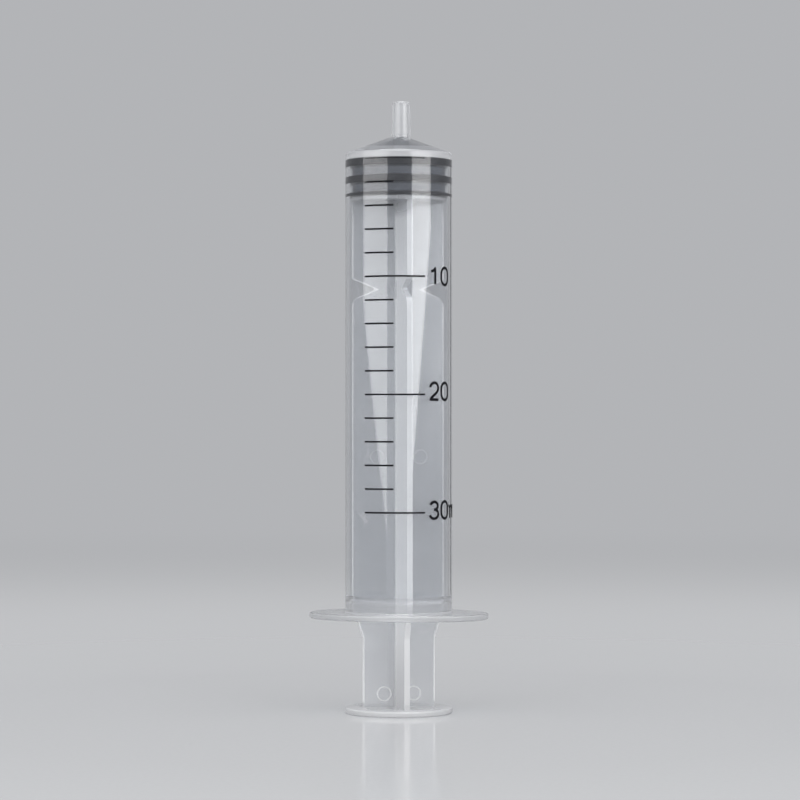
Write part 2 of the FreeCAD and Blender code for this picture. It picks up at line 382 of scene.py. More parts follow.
end_ring = window(tree, height, *END_RING)
flange = window(tree, height, *FLANGE)
tube_foot = window(tree, height, *TUBE_FOOT)
bead = window(tree, height, *BEAD)
nozzle = smooth_step(tree, height, END_WALL_TO, NOZZLE_FULL)
for place, (low, high, soft) in {"end ring": END_RING, "flange": FLANGE, "bead": BEAD}.items():
    print(place, "is milky from", round(low / MM, 2), "to", round(high / MM, 2), "mm")

# %% [markdown]
# ### What the height alone can't tell
#
# The flange's broad faces look clearer than its rim, because one looks straight through them, and
# the tube's foot and the bead share their heights with the flange and the outer wall. These faces
# could be picked by hand in the mesh, but then a new solid would lose them. The direction a face
# looks in tells a broad face from the rim, and the distance from the axis tells the bore and the
# tube from what is around them.

# %% Finish "barrel plastic": broad faces, the tube and its bore
BROAD_FACE_FROM = 0.4
BROAD_FACE_FULL = 0.9
TUBE_WITHIN = tube_r + 0.1 * MM
BORE_WITHIN = bore_r + 0.02 * MM


def vector_node(tree, operation, **inputs):
    """One sum on vectors; returns the node, because it may put out a vector or a number."""
    return node(tree, "ShaderNodeVectorMath", {"operation": operation}, **inputs)


def from_axis(tree, position):
    """How far a place is from the syringe's axis."""
    flat = vector_node(tree, "MULTIPLY", in0=position, in1=(1, 1, 0))
    return vector_node(tree, "LENGTH", in0=flat.outputs[0]).outputs["Value"]


def lies_level(tree, normal, start, end):
    """1 on faces that look straight up or down, and 0 on upright ones."""
    return smooth_step(tree, math_node(tree, "ABSOLUTE", height_of(tree, normal)), start, end)


radius = from_axis(tree, position)
on_the_tube = math_node(tree, "LESS_THAN", radius, TUBE_WITHIN)
in_the_bore = math_node(tree, "LESS_THAN", radius, BORE_WITHIN)
broad_face = lies_level(tree, coords["Normal"], BROAD_FACE_FROM, BROAD_FACE_FULL)
print("the tube is within", round(TUBE_WITHIN / MM, 2), "mm of the axis, its bore within",
      round(BORE_WITHIN / MM, 2), "mm")

# %% [markdown]
# ### The barrel's finish, put together
#
# Every place gets its own share of milk, read off the photograph: most on the nozzle, the ring and
# the flange's rim, little on its broad faces. The shares could be added up, but then a spot that
# two places claim would be whiter than either, so the larger one counts. The haze inside is weak,
# since this is the clear grade.

# %% Finish "barrel plastic": shares of milk
END_RING_MILK = 0.75
FLANGE_RIM_MILK = 0.9
FLANGE_FACE_MILK = 0.3
TUBE_FOOT_MILK = 0.35
BEAD_MILK = 0.4
NOZZLE_MILK = 0.8
BARREL_HAZE_PER_METRE = 16.0

milky = most_of(tree, times(tree, end_ring, END_RING_MILK),
                times(tree, flange, between(tree, broad_face, FLANGE_RIM_MILK, FLANGE_FACE_MILK)),
                times(tree, tube_foot, on_the_tube, TUBE_FOOT_MILK),
                times(tree, bead, in_the_bore, BEAD_MILK),
                times(tree, nozzle, NOZZLE_MILK))
clear_plastic(tree, output, clear_wall, milky_wall, milky, BARREL_HAZE_PER_METRE)
print(barrel_plastic.name, "has", len(tree.nodes), "nodes")

# %% [markdown]
# ### The rod: milky polypropylene
#
# The rod is moulded from a cheaper, cloudier grade, so the same haze is many times denser. Its four
# ribs are thin, so their flat sides stay see-through. Whatever isn't a flat side is thick or is
# looked at end on, such as the ribs' edges, the break-off notch, the thumb rest and the guiding
# disc, and it turns white. Faces could be chosen one by one and given a second material, but that
# ties the looks to the mesh. A flat side is easy to tell: it faces straight round the axis, and
# nothing else on the rod does. So the surface's direction is compared with that one.

# %% Finish "rod plastic": skin, and what is seen end on
FLAT_FROM = 0.35
FLAT_FULL = 0.75
LEVEL_FROM = 0.7
LEVEL_FULL = 0.95
END_ON_MILK = 0.85
LEVEL_FACE_MILK = 0.35

rod_plastic, tree, output, coords = new_finish("rod plastic")
position = coords["Object"]
flow = use_group(tree, skin, Position=position, Streak_Scale=300.0, Grain_Scale=3500.0)
marks = use_group(tree, scuffs, Position=position, Scale=340.0, Line_Width=0.008)
swell = node(tree, "ShaderNodeBump", Strength=0.12, Distance=0.2 * MM, Height=flow["Streaks"])
grain_bump = node(tree, "ShaderNodeBump", Strength=0.05, Distance=0.02 * MM, Height=flow["Grain"],
                  Normal=swell.outputs[0])

round_axis = vector_node(tree, "CROSS_PRODUCT", in0=(0, 0, 1), in1=position)
round_axis = vector_node(tree, "NORMALIZE", in0=round_axis.outputs[0])
facing_round = vector_node(tree, "DOT_PRODUCT", in0=round_axis.outputs[0], in1=coords["Normal"])
facing_round = math_node(tree, "ABSOLUTE", facing_round.outputs["Value"])
flat_side = smooth_step(tree, facing_round, FLAT_FROM, FLAT_FULL)
level_face = lies_level(tree, coords["Normal"], LEVEL_FROM, LEVEL_FULL)
end_on = between(tree, level_face, END_ON_MILK, LEVEL_FACE_MILK)
end_on = math_node(tree, "SUBTRACT", end_on, flat_side, clamp=True)
print("end on, the rod is up to", END_ON_MILK, "milky, and", LEVEL_FACE_MILK, "on level faces")

# %% [markdown]
# ### The rings left by the ejector pins
#
# The pins that push the moulding out of its tool leave sunk circles in the ribs, and the sharp
# border of each one catches light. The circles themselves are in the solid, but a border far
# thinner than the plastic's haze hardly shows by its shape alone. So the light each border catches
# is painted in, as a painted glint: a fine ring of the milky surface. The rings are found in the
# rod's own directions, which are turned from the flange's. Each pair of pins is written as how far
# out along the rib, how high, and how strong its painted glint is.

# %% Finish "rod plastic": rings of the ejector pins
ROD_TURN_DEG = -25.3
PIN_RADIUS = 1.55 * MM
PIN_LINE_HALF = 0.06 * MM
PIN_LINE_SOFT = 0.05 * MM
PIN_PLACES = [(3.4 * MM, 4.3 * MM, 0.9), (5.0 * MM, 57.3 * MM, 0.45)]

along_ribs = node(tree, "ShaderNodeVectorRotate", {"rotation_type": "Z_AXIS"}, Vector=position,
                  Angle=math.radians(ROD_TURN_DEG))
along = node(tree, "ShaderNodeSeparateXYZ", Vector=along_ribs.outputs[0]).outputs
out_wide_pair = math_node(tree, "ABSOLUTE", along["X"])
out_front_pair = math_node(tree, "ABSOLUTE", along["Y"])
pin_ring_glints = []
for out, pin_height, glint_share in PIN_PLACES:
    across = math_node(tree, "SUBTRACT", out_wide_pair, out)
    up = math_node(tree, "SUBTRACT", along["Z"], pin_height)
    squares = math_node(tree, "ADD", times(tree, across, across), times(tree, up, up))
    from_pin = math_node(tree, "SQRT", squares)
    # Painted glint: a thin ring of milky surface on each pin's border.
    ring = window(tree, from_pin, PIN_RADIUS - PIN_LINE_HALF, PIN_RADIUS + PIN_LINE_HALF,
                  PIN_LINE_SOFT)
    pin_ring_glints.append(times(tree, ring, glint_share))
print("rings of", len(PIN_PLACES), "pairs of pins, radius", round(PIN_RADIUS / MM, 2), "mm")

# %% [markdown]
# ### The painted highlight round each rib
#
# On the real rod a fine white line runs round each flat side, down its edge and in and out of the
# notch, because the corner there is a little rounded and shows the light of the whole room. Real
# bevels that small would multiply the mesh for one line, so the line is a painted highlight. The
# outline is simple, though: a reach that grows where the rib flares, cut by two slopes at the
# notch.
# So the material works out how far a place is from that outline, and a thin band along it gets the
# milky surface as a painted highlight of the rounded corner.

# %% Finish "rod plastic": the line round each rib
FOOT_REACH = 8.2 * MM
RIB_REACH = 10.5 * MM
FLARE_FROM = 17.1 * MM
FLARE_TO = 23.9 * MM
NOTCH_REACH = 5.1 * MM
NOTCH_HEIGHT = 94.8 * MM
NOTCH_SLOPE = 2.4
LINE_FULL = 0.14 * MM
LINE_ENDS = 0.26 * MM

out_along_rib = math_node(tree, "MAXIMUM", out_wide_pair, out_front_pair)
rib_reach = node(tree, "ShaderNodeMapRange", Value=along["Z"], From_Min=FLARE_FROM,
                 From_Max=FLARE_TO, To_Min=FOOT_REACH, To_Max=RIB_REACH).outputs["Result"]
from_notch = math_node(tree, "ABSOLUTE", math_node(tree, "SUBTRACT", along["Z"], NOTCH_HEIGHT))
notch_reach = math_node(tree, "ADD", times(tree, from_notch, NOTCH_SLOPE), NOTCH_REACH)
to_edge = math_node(tree, "SUBTRACT", rib_reach, out_along_rib)
to_notch = math_node(tree, "DIVIDE", math_node(tree, "SUBTRACT", notch_reach, out_along_rib),
                     NOTCH_SLOPE)
to_outline = math_node(tree, "MINIMUM", to_edge, to_notch)
# Painted highlight: a thin band along the rib's outline.
corner_highlight_line = opposite(tree, smooth_step(tree, to_outline, LINE_FULL, LINE_ENDS))
print("ribs reach", round(FOOT_REACH / MM, 1), "mm in the hand and", round(RIB_REACH / MM, 1),
      "mm in the bore")

# %% [markdown]
# ### The colours of the rod
#
# The rod is white plastic, but how white it looks depends on how much of it the light crosses. Near
# the thumb rest it is thick and stands in its own shade, and that shade is painted in: its milk is
# given a greyer colour there, while the fine lines above the thumb rest keep a painted highlight in
# white. The pair of ribs that points to the front and back is looked at along its length, so it
# gets more milk than the wide pair, and a painted sheen in white on its flat sides. A ramp painted
# by eye would be quicker, but masks that follow the parts keep every change where the plastic gives
# a reason.

# %% Finish "rod plastic": its two surfaces
RIB_PLASTIC = [(0.68, 0.69, 0.715, 1), (0.75, 0.76, 0.78, 1)]
RIB_WHITE = (0.92, 0.92, 0.925, 1)
EDGE_PLASTIC = [(0.72, 0.72, 0.73, 1), (0.79, 0.79, 0.795, 1)]
PAINTED_LIGHT_WHITE = (0.90, 0.90, 0.905, 1)
LOW_DOWN_PAINTED_SHADE = (0.60, 0.60, 0.61, 1)
LOW_DOWN_ENDS = 30 * MM
FOOT_FULL = 1.0 * MM
FOOT_ENDS = 12.0 * MM
FOOT_CLOUD = 0.4
LINES_FROM = 2.2 * MM
LINES_FULL = 2.7 * MM
FRONT_LINES_LEFT = 0.3
FRONT_RIB_HALF = 0.9 * MM

front_pair = math_node(tree, "LESS_THAN", out_wide_pair, FRONT_RIB_HALF)
low_down = opposite(tree, smooth_step(tree, along["Z"], 0.0, LOW_DOWN_ENDS))
low_painted_highlights = times(tree, low_down, most_of(tree, corner_highlight_line, *pin_ring_glints),
                  smooth_step(tree, along["Z"], LINES_FROM, LINES_FULL),
                  between(tree, front_pair, 1.0, FRONT_LINES_LEFT))

foot = opposite(tree, smooth_step(tree, along["Z"], FOOT_FULL, FOOT_ENDS))
rib = colour_between(tree, flow["Cloud"], *RIB_PLASTIC)
rib = colour_between(tree, most_of(tree, times(tree, foot, FOOT_CLOUD), marks["Mask"]), rib,
                     RIB_WHITE)
thin_rib = node(tree, "ShaderNodeBsdfPrincipled", Base_Color=rib,
                Roughness=between(tree, flow["Cloud"], 0.12, 0.22), IOR=POLYPROPYLENE_IOR,
                Transmission_Weight=0.88, Normal=grain_bump.outputs[0])

edge = colour_between(tree, flow["Cloud"], *EDGE_PLASTIC)
# Painted sheen: the front pair's flat sides are whitened for the light they catch along their
# length.
edge = colour_between(tree, times(tree, front_pair, flat_side), edge, PAINTED_LIGHT_WHITE)
# Painted shade: near the thumb rest the edges are given a greyer colour.
edge = colour_between(tree, low_down, edge, LOW_DOWN_PAINTED_SHADE)
# Painted highlights: the bright lines and the pins' rings low down are whitened.
edge = colour_between(tree, low_painted_highlights, edge, PAINTED_LIGHT_WHITE)
milky_edge = node(tree, "ShaderNodeBsdfPrincipled", Base_Color=edge, Roughness=0.24,
                  IOR=POLYPROPYLENE_IOR, Transmission_Weight=0.3, Normal=grain_bump.outputs[0])
print("the front pair lies within", round(FRONT_RIB_HALF / MM, 1), "mm of the rod's middle plane")

# %% [markdown]
# ### Where the rod is milky
#
# Now the masks come together: what is seen end on, the front pair of ribs right across, which also
# carries a painted sheen, and the painted highlights of the bright lines and the pins' rings. Two
# places need less milk. At the guiding disc the rod stands in the stopper's shade, painted in as
# less milk, and the flanks of the front notch lean away, so that one looks down into clearer
# plastic. They could be left alone, but then both would be as bright as the rib beside them, and
# the notch would hardly show from the front.

# %% Finish "rod plastic": the milky places
FRONT_RIB_MILK_AND_SHEEN = 0.9
MILK_LEFT_IN_SHADE = 0.3
SHADE_FROM = 110 * MM
SHADE_FULL = 113 * MM
NOTCH = (NOTCH_HEIGHT - 1.8 * MM, NOTCH_HEIGHT + 1.8 * MM, 0.5 * MM)
NOTCH_CLEARS = 0.6
ROD_HAZE_PER_METRE = 240.0

milky = most_of(tree, end_on, times(tree, front_pair, FRONT_RIB_MILK_AND_SHEEN), corner_highlight_line, *pin_ring_glints)
below_shade = opposite(tree, smooth_step(tree, along["Z"], SHADE_FROM, SHADE_FULL))
milky = times(tree, milky, between(tree, below_shade, MILK_LEFT_IN_SHADE, 1.0))
in_notch = window(tree, along["Z"], *NOTCH)
front_flanks = times(tree, in_notch, front_pair, opposite(tree, flat_side), NOTCH_CLEARS)
milky = times(tree, milky, opposite(tree, front_flanks))
clear_plastic(tree, output, thin_rib, milky_edge, milky, ROD_HAZE_PER_METRE)
print(rod_plastic.name, "has", len(tree.nodes), "nodes")

# %% [markdown]
# ### The stopper: dark rubber
#
# Seen through the wall, a stopper shows two kinds of band. Where a land presses on the plastic
# there is no air between them, so nothing is reflected there and the rubber looks almost black. In
# the grooves an air gap is back, and the rubber looks grey: the grooves' colour is the rubber's own
# grey with a painted reflection of that air gap added. Rubber is dull by itself, with a fine tooth
# from its mould and a trace of silicone oil on the lands. The bands could be two materials on
# chosen faces, but their border would then be as hard as the mesh. The distance from the axis tells
# a land from a groove and lets one run into the other.

# %% Finish "stopper rubber"
GROOVE_RUBBER_AND_REFLECTION = [(0.050, 0.056, 0.072, 1), (0.075, 0.083, 0.102, 1)]
LAND_RUBBER = [(0.004, 0.005, 0.009, 1), (0.009, 0.010, 0.016, 1)]
PRESSED_FROM = bore_r - 0.45 * MM
PRESSED_FULL = bore_r - 0.1 * MM
OIL_SMOOTHS = 0.2

stopper_rubber, tree, output, coords = new_finish("stopper rubber")
position = coords["Object"]
flow = use_group(tree, skin, Position=position, Streak_Scale=500.0, Grain_Scale=6000.0)
pressed = smooth_step(tree, from_axis(tree, position), PRESSED_FROM, PRESSED_FULL)
# Painted reflection: the grooves are lighter for the air gap's reflection.
rubber = colour_between(tree, pressed, colour_between(tree, flow["Cloud"], *GROOVE_RUBBER_AND_REFLECTION),
                        colour_between(tree, flow["Cloud"], *LAND_RUBBER))
rubber_rough = math_node(tree, "SUBTRACT", between(tree, flow["Cloud"], 0.5, 0.7),
                         times(tree, pressed, OIL_SMOOTHS))
tooth = node(tree, "ShaderNodeBump", Strength=0.2, Distance=0.03 * MM, Height=flow["Grain"])
rubber_surface = node(tree, "ShaderNodeBsdfPrincipled", Base_Color=rubber, Roughness=rubber_rough,
                      IOR=1.5, Normal=tooth.outputs[0])
tree.links.new(rubber_surface.outputs[0], output.inputs["Surface"])
print(stopper_rubber.name, "is black from", round(PRESSED_FULL / MM, 2), "mm off the axis")

# %% [markdown]
# ### The scale's ink
#
# The scale is pad printed: one thin, nearly black layer. It is dense, but it isn't perfectly even,
# and it is duller than the plastic under it. Pure black would do from afar. A little cloud in the
# colour and a fine bump keep it from looking like a hole when the camera comes close.

# %% Finish "scale ink"
INK = [(0.003, 0.003, 0.004, 1), (0.009, 0.009, 0.012, 1)]

scale_ink, tree, output, coords = new_finish("scale ink")
flow = use_group(tree, skin, Position=coords["Object"], Streak_Scale=900.0, Grain_Scale=9000.0)
film = node(tree, "ShaderNodeBump", Strength=0.3, Distance=0.01 * MM, Height=flow["Grain"])
ink_surface = node(tree, "ShaderNodeBsdfPrincipled",
                   Base_Color=colour_between(tree, flow["Cloud"], *INK),
                   Roughness=between(tree, flow["Grain"], 0.6, 0.8),
                   Specular_IOR_Level=0.1, Normal=film.outputs[0])
tree.links.new(ink_surface.outputs[0], output.inputs["Surface"])
print(scale_ink.name, "has", len(tree.nodes), "nodes")

# %% [markdown]
# ## Dressing the solids
#
# The barrel and the rod already have the right shape, down to the notch and the bead, so modelling
# them again in Blender would only make them less exact. Each keeps its mesh and gets its finish on
# its own material slots.

# %% Put finishes on the barrel and the rod
for name, finish, slot_name in [("barrel", barrel_plastic, "barrel_plastic"),
                                ("plunger", rod_plastic, "plunger_plastic")]:
    solid = frame["nodes"][name]
    for slot in solid.material_slots:
        slot.material = finish
    print(name, "has", len(solid.data.polygons), "faces and wears", finish.name)

# %% [markdown]
# ## The stopper, squeezed into the bore
#
# Rubber is moulded wider than the bore and squeezed in. The solid stops a hair short of the wall,
# because solids mustn't overlap, and that hair is a film of air that light would reflect from. On
# the real thing there is none, and the dark rings reach right across the tube. A cloth or soft body
# simulation could press it in, but the result is known: the lands end in the wall. So this piece is
# a copy of the solid whose lands are swollen until they just enter the plastic. A point swells the
# more, the nearer it is to the wall, and the grooves stay as they are.

# %% Swell the stopper's lands
LAND_STARTS = bore_r - 0.3 * MM
SUNK_IN_WALL = 0.02 * MM

solid_stopper = frame["nodes"]["stopper"]
squeezed = bpy.data.objects.new("stopper_squeezed", solid_stopper.data.copy())
land_r = max(math.hypot(point.co.x, point.co.y) for point in squeezed.data.vertices)
swelling = bore_r + SUNK_IN_WALL - land_r
for point in squeezed.data.vertices:
    out = math.hypot(point.co.x, point.co.y)
    if out > LAND_STARTS:
        swollen = out + swelling * (out - LAND_STARTS) / (land_r - LAND_STARTS)
        point.co.x *= swollen / out
        point.co.y *= swollen / out
squeezed.data.materials.clear()
squeezed.data.materials.append(stopper_rubber)
bpy.context.scene.collection.objects.link(squeezed)
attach(squeezed, "stopper")
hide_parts("stopper")
print("lands swollen from", round(land_r / MM, 3), "to", round((land_r + swelling) / MM, 3), "mm")

# %% [markdown]
# ## The printed scale
#
# The scale is a film of ink on a cylinder. A picture on the barrel would be the usual way, but it
# needs an image, and its edges blur close up. Here every mark is a real film, a few hundredths of
# a millimetre thick. It is drawn flat first, in millimetres round the tube and up it, and then each
# point is rolled onto the tube. The flat drawing starts from the line of the tube that faces the
# camera, which stands 12 degrees round from the flange's broad side. Long strokes are divided
# first, because a straight step longer than half a millimetre would cut into the round tube.

# %% From a flat drawing to the tube
CAMERA_AZIMUTH = math.radians(12)
INK_LIFT = 0.004 * MM
INK_THICKNESS = 0.03 * MM
LONGEST_STEP = 0.4


def on_tube(across, up, lift):
    """A point of the flat drawing, in mm round the tube and above the press face, on the tube."""
    angle = CAMERA_AZIMUTH - math.pi / 2 + across * MM / tube_r
    ring = tube_r + lift
    return Vector((ring * math.cos(angle), ring * math.sin(angle), up * MM))


def fine_path(points):
    """The same path with its long steps divided, so that it can bend round the tube."""
    fine = [points[0]]
    for start, end in zip(points, points[1:]):
        steps = max(1, math.ceil(math.dist(start, end) / LONGEST_STEP))
        for i in range(1, steps + 1):
            share = i / steps
            fine.append((start[0] + (end[0] - start[0]) * share,
                         start[1] + (end[1] - start[1]) * share))
    return fine


print("a step of", LONGEST_STEP, "mm turns", round(math.degrees(LONGEST_STEP * MM / tube_r), 1),
      "degrees round the tube")

# %% [markdown]
# ### A stroke of ink
#
# A printing pad leaves strokes of even width with a flat top. A curve with a bevel would give round
# wires, and a flat ribbon would have no thickness, so it would flicker against the tube. So each
# stroke is a closed film: at every point of its path stand four corners, low and high on the left
# and low and high on the right, and faces join each set of four to the next. Open strokes get a
# cap at both ends.

# %% Strokes as closed films
ROUND_THE_SECTION = [0, 1, 3, 2]


def section(mesh, middle, before, after, width):
    """The four corners of a film at one point of its path, square to the way it runs."""
    run = Vector((after[0] - before[0], after[1] - before[1])).normalized()
    side = Vector((-run.y, run.x)) * width / 2
    return [mesh.verts.new(on_tube(middle[0] + sign * side.x, middle[1] + sign * side.y, lift))
            for sign in (1, -1) for lift in (INK_LIFT, INK_LIFT + INK_THICKNESS)]


def ribbon(mesh, points, width, closed=False):
    """Adds a stroke to a bmesh: a closed solid film along a path, with a flat top and bottom."""
    path = fine_path(points + points[:1])[:-1] if closed else fine_path(points)
    last = len(path) - 1
    rows = []
    for i, middle in enumerate(path):
        before = path[i - 1] if closed or i > 0 else middle
        after = path[(i + 1) % len(path)] if closed or i < last else middle
        rows.append(section(mesh, middle, before, after, width))
    for near, far in zip(rows, rows[1:] + rows[:1] if closed else rows[1:]):
        for one, other in zip(ROUND_THE_SECTION, ROUND_THE_SECTION[1:] + ROUND_THE_SECTION[:1]):
            mesh.faces.new((near[one], near[other], far[other], far[one]))
    if not closed:
        for row in (rows[0], rows[-1]):
            mesh.faces.new([row[corner] for corner in ROUND_THE_SECTION])


print("a film is", round(INK_THICKNESS / MM, 3), "mm thick and stands", round(INK_LIFT / MM, 3),
      "mm off the tube")

# %% [markdown]
# ### A piece of ink
#
# Printed ink goes where the barrel goes, and it is no part of the moulding. Every mark could be an
# object of its own, but nobody needs to move one mark. So the strokes of one number, or all the
# lines, are gathered in one mesh, and that mesh becomes one piece that rides on the barrel.

# %% From strokes to a piece
def ink_piece(name, mesh):
    """Turns a bmesh of ink into a piece that rides on the barrel."""
    bmesh.ops.recalc_face_normals(mesh, faces=mesh.faces)
    data = bpy.data.meshes.new(name)
    mesh.to_mesh(data)
    mesh.free()
    data.materials.append(scale_ink)
    piece = bpy.data.objects.new(name, data)
    bpy.context.scene.collection.objects.link(piece)
    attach(piece, "barrel")
    print(name, "has", len(data.polygons), "faces")


print("ink pieces will wear", scale_ink.name, "and ride on the barrel")

# %% [markdown]
# ### The lines
#
# Two millilitres fill 5.22 mm of this bore, so a line stands every 5.22 mm from the stopper's
# front land down to 30 ml. Every fifth line is long. Each could be placed by its own height, but a
# loop over the readings keeps the spacing exact. The first line marks zero, level with the end of
# the bore. It came out thinner than the rest, because the pad meets the tube's end there.

# %% Draw the lines
ML_STEP = 2
ML_LONG = 10
FULL_SCALE = 30
STEP_UP = 5.22
ZERO_UP = 123.43
LINE_WIDTH = 0.38
ZERO_LINE_WIDTH = 0.14
LINE_LEFT = -8.05
SHORT_RIGHT = -1.15
LONG_RIGHT = 6.1


def up_at(reading):
    """The height of a reading on the tube, in mm above the press face."""
    return ZERO_UP - reading / ML_STEP * STEP_UP


lines = bmesh.new()
for reading in range(0, FULL_SCALE + ML_STEP, ML_STEP):
    right = LONG_RIGHT if reading % ML_LONG == 0 else SHORT_RIGHT
    width = LINE_WIDTH if reading > 0 else ZERO_LINE_WIDTH
    ribbon(lines, [(LINE_LEFT, up_at(reading)), (right, up_at(reading))], width)
ink_piece("scale_lines", lines)

# %% [markdown]
# ### The shapes of the figures
#
# The figures are plain upright ones with a stroke of even width, about 4 mm tall. Blender has a
# font of its own, but its flat letters would have to be cut up finely to bend round a tube. Drawing
# each figure as a pen stroke of lines and arcs keeps the ink even and lets the same ribbon do
# everything. Each stroke is drawn in a box that is 1 wide and 1 tall, from its lower left corner,
# and says whether it closes on itself, as the ring of a 0 does.

# %% Pen strokes for the figures and the unit
ARC_POINTS = 16


def arc(centre_x, centre_y, radius_x, radius_y, start, end):
    """Points on an ellipse between two angles in degrees, in shares of a figure's box."""
    angles = [math.radians(start + (end - start) * i / ARC_POINTS) for i in range(ARC_POINTS + 1)]
    return [(centre_x + radius_x * math.cos(angle), centre_y + radius_y * math.sin(angle))
            for angle in angles]


GLYPHS = {
    "0": [(True, arc(0.5, 0.64, 0.53, 0.38, 0, 180) + arc(0.5, 0.36, 0.53, 0.38, 180, 360))],
    "1": [(False, [(0.10, 0.77), (0.28, 0.785), (0.42, 0.83), (0.53, 0.91), (0.59, 1.0),
                   (0.59, 0.0)])],
    "2": [(False, arc(0.49, 0.705, 0.47, 0.315, 172, -38)
           + [(0.74, 0.42), (0.60, 0.335), (0.42, 0.25), (0.25, 0.165), (0.11, 0.075), (0.03, 0.0),
              (0.98, 0.0)])],
    "3": [(False, arc(0.47, 0.765, 0.43, 0.245, 168, -84)),
          (False, arc(0.47, 0.265, 0.50, 0.275, 92, -168))],
    "m": [(False, [(0.0, 0.0), (0.0, 0.74)]),
          (False, arc(0.39, 0.48, 0.39, 0.26, 180, 0) + [(0.78, 0.0)]),
          (False, arc(1.17, 0.48, 0.39, 0.26, 180, 0) + [(1.56, 0.0)])],
    "l": [(False, [(0.0, 0.0), (0.0, 1.02)])],
}
print("strokes drawn for", " ".join(GLYPHS))

# %% [markdown]
# ### The figures on the tube
#
# A figure stands to the right of each long line, and the unit follows the last one. On the real
# tube they don't sit dead level with their lines, so each reading has its own small rise. Near the
# tube's side the curve narrows the figures for the eye. They could be widened there to make up for
# it, but the real ones aren't, so they keep one width and one pitch all the way round.

# %% Draw the figures and the unit
FIGURE_HEIGHT = 3.65
FIGURE_WIDTH = 2.5
FIGURE_STROKE = 0.62
FIGURES_LEFT = 7.4
FIGURE_PITCH = 3.55
UNIT_GAP = 0.4
M_PITCH = 5.2
RISE = {10: 0.15, 20: 0.7, 30: 0.5}

for reading, rise in RISE.items():
    figures = bmesh.new()
    bottom = up_at(reading) + rise - FIGURE_HEIGHT / 2
    pen = FIGURES_LEFT
    for letter in str(reading) + ("ml" if reading == FULL_SCALE else ""):
        if letter == "m":
            pen += UNIT_GAP
        for closed, points in GLYPHS[letter]:
            drawn = [(pen + x * FIGURE_WIDTH, bottom + y * FIGURE_HEIGHT) for x, y in points]
            ribbon(figures, drawn, FIGURE_STROKE, closed)
        pen += M_PITCH if letter == "m" else FIGURE_PITCH
    ink_piece("scale_figures_" + str(reading), figures)

# %% [markdown]
# ## The studio: a pale floor without an end
#
# A product is usually shot on a sheet that curls up behind it, so that no horizon shows. That
# works for one camera only, and this syringe is looked at from all sides. So the floor is a flat
# round card, many times wider than the picture, and the finish it gets below hides where it ends.
#
# The syringe stands on its thumb rest, and drawing the rod out carries the thumb rest 89 mm down.
# A floor that stayed where it is would swallow it. So the floor goes with the rod, and at every
# pose the thumb rest stands on it.

# %% Floor
FLOOR_RADIUS = 3.0
FLOOR_SIDES = 96

disc = bmesh.new()
bmesh.ops.create_circle(disc, cap_ends=True, segments=FLOOR_SIDES, radius=FLOOR_RADIUS)
floor_data = bpy.data.meshes.new("floor")
disc.to_mesh(floor_data)
disc.free()
floor = bpy.data.objects.new("floor", floor_data)
bpy.context.scene.collection.objects.link(floor)
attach(floor, "plunger")
print("floor is", FLOOR_RADIUS * 2, "m across and goes with the plunger")

# %% [markdown]
# ### The floor's card
#
# Near the syringe the floor is an ordinary pale card: it takes the shadow and gives light back from
# below, and it keeps a little gloss for a faint reflection of the thumb rest. Further out it fades
# into the colour of the air, so no horizon shows. Fog would fade it too, but it would dim the
# syringe. So the card is mixed by distance with a plain glow of the air's colour, and only for the
# eye and for what is seen in or through the plastic: as a source of light the card stays a card.

# %% Finish "floor card"
BACKGROUND_COLOUR = (0.45, 0.457, 0.474, 1)
FLOOR_CARD = [(0.61, 0.615, 0.625, 1), (0.65, 0.655, 0.665, 1)]
FADE_FROM = 0.30
FADE_TO = 1.05
DULLER_FROM = 0.03
DULLER_TO = 0.45


def looked_at(tree):
    """1 for the eye and for what it sees in or through plastic, 0 for light falling on things."""
    path = node(tree, "ShaderNodeLightPath").outputs
    return most_of(tree, path["Is Camera Ray"], path["Is Glossy Ray"], path["Is Transmission Ray"])


card_finish, tree, output, coords = new_finish("floor card")
fibre = node(tree, "ShaderNodeTexNoise", Vector=coords["Object"], Scale=900.0, Detail=2.0)
card = colour_between(tree, fibre.outputs[0], *FLOOR_CARD)
far = vector_node(tree, "LENGTH", in0=coords["Object"]).outputs["Value"]
duller = smooth_step(tree, far, DULLER_FROM, DULLER_TO)
card_surface = node(tree, "ShaderNodeBsdfPrincipled", Base_Color=card,
                    Roughness=between(tree, duller, 0.1, 0.5))
air = node(tree, "ShaderNodeEmission", Color=BACKGROUND_COLOUR, Strength=1.0)
faded = times(tree, smooth_step(tree, far, FADE_FROM, FADE_TO), looked_at(tree))
surface = node(tree, "ShaderNodeMixShader", in0=faded, in1=card_surface.outputs[0],
               in2=air.outputs[0])
tree.links.new(surface.outputs[0], output.inputs["Surface"])
card_finish.cycles.emission_sampling = "NONE"
floor_data.materials.append(card_finish)
print(card_finish.name, "fades into the air from", FADE_FROM, "to", FADE_TO, "m off the axis")

# %% [markdown]
# ## Lamps
#
# Two broad soft boxes, one each side of the camera, draw the long highlights down the tube. Small
# lamps would give thin bright streaks instead. On a round tube the edges of a highlight are the
# edges of its lamp, so the lamps' widths, heights and lean come straight from the highlights: the
# left one is wide and weak, the right one is narrower and brighter, and each leans so that its
# highlight shrinks to a point at its lower end. A third, the largest, hangs overhead and lights the
# closing ring, the flange and the floor.

